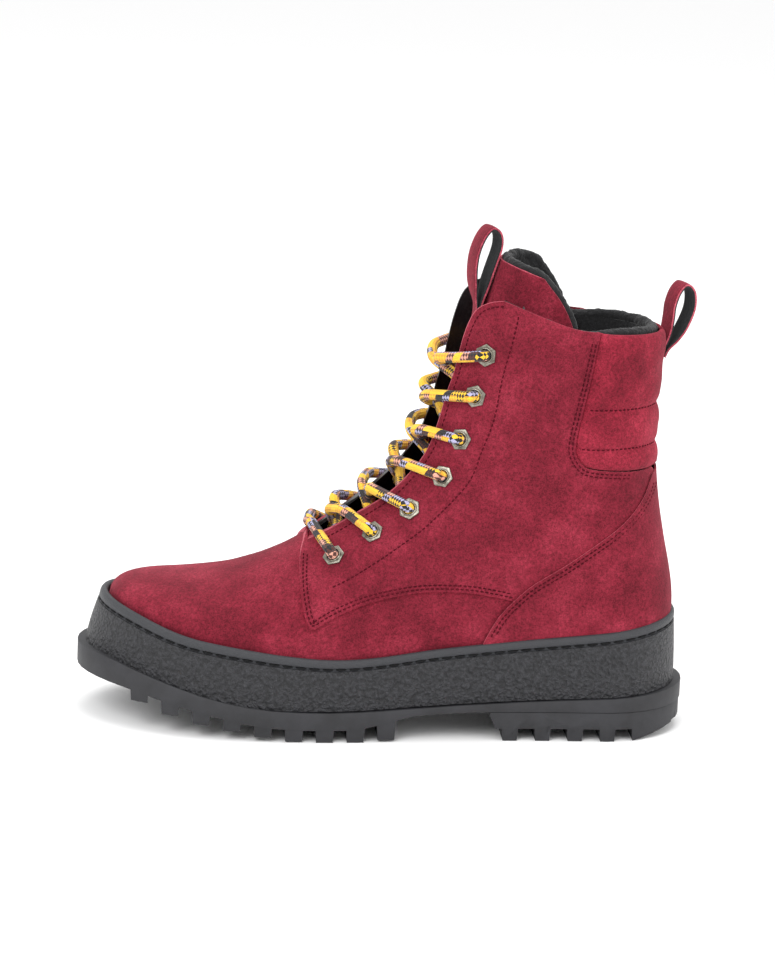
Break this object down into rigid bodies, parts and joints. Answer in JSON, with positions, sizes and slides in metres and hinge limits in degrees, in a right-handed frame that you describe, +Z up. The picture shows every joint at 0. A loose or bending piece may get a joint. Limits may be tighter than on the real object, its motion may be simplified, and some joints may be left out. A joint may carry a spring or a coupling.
{
  "type": "winter boot",
  "caption": "Left ankle-high lace-up winter boot: suede upper with fleece lining, hexagonal eyelets, round lace, padded collar, two pull loops and a lugged cup sole.",
  "frame": {"origin": "centre of the bounding box in X and Y, on the ground plane under the tread", "axes": "+X from the toe to the heel, +Y towards the inner (medial) side of the foot, +Z up"},
  "size_m": [0.2954, 0.1073, 0.2419],
  "materials": {
    "suede": "napped burgundy suede",
    "smooth_leather": "smooth black lining leather",
    "fleece": "short black fleece pile",
    "rubber": "matt grained dark grey rubber",
    "foam": "closed cell foam",
    "board": "pressed fibre board",
    "shank_steel": "plain spring steel",
    "eyelet_metal": "aged nickel plate",
    "lace_cord": "round braided cord, yellow, black, brown, rose and lilac",
    "aglet_film": "clear film"
  },
  "bodies": {
    "boot": {"outsole": "rubber", "heel_block": "rubber", "sidewall": "rubber", "midsole_core": "foam", "shank": "shank_steel", "insole_board": "board", "vamp": "suede", "quarter_lateral": "suede", "quarter_medial": "suede", "facing_lateral": "smooth_leather", "facing_medial": "smooth_leather", "heel_cover": "suede", "collar_pad": "suede", "collar_foam": "foam", "toe_puff": "board", "heel_stiffener": "board", "vamp_lining": "fleece", "shaft_lining": "fleece", "lace": "lace_cord", "aglet_a": "aglet_film", "aglet_b": "aglet_film", "eyelet_lateral_1": "eyelet_metal", "eyelet_lateral_2": "eyelet_metal", "eyelet_lateral_3": "eyelet_metal", "eyelet_lateral_4": "eyelet_metal", "eyelet_lateral_5": "eyelet_metal", "eyelet_lateral_6": "eyelet_metal", "eyelet_lateral_7": "eyelet_metal", "eyelet_medial_1": "eyelet_metal", "eyelet_medial_2": "eyelet_metal", "eyelet_medial_3": "eyelet_metal", "eyelet_medial_4": "eyelet_metal", "eyelet_medial_5": "eyelet_metal", "eyelet_medial_6": "eyelet_metal", "eyelet_medial_7": "eyelet_metal"},
    "tongue": {"tongue": "suede", "tongue_lining": "fleece"},
    "tongue_loop": {"tongue_loop": "suede"},
    "heel_loop": {"heel_loop": "suede"},
    "footbed": {"footbed": "fleece"}
  },
  "joints": [
    {"name": "tongue_tilt", "type": "hinge", "parent": "boot", "child": "tongue", "pos_m": [-0.036, 0, 0.08], "axis": [0, 1, 0], "range_deg": [0, 5], "stiffness_Nm_per_rad": 0.4},
    {"name": "tongue_loop_flop", "type": "hinge", "parent": "tongue", "child": "tongue_loop", "pos_m": [0.0378, 0, 0.204], "axis": [0, 1, 0], "range_deg": [-30, 0], "stiffness_Nm_per_rad": 0.01},
    {"name": "heel_loop_flop", "type": "hinge", "parent": "boot", "child": "heel_loop", "pos_m": [0.133, 0, 0.184], "axis": [0, 1, 0], "range_deg": [0, 40], "stiffness_Nm_per_rad": 0.01},
    {"name": "footbed_lift", "type": "hinge", "parent": "boot", "child": "footbed", "pos_m": [-0.1244, 0, 0.0446], "axis": [0, -1, 0], "range_deg": [0, 4]}
  ]
}
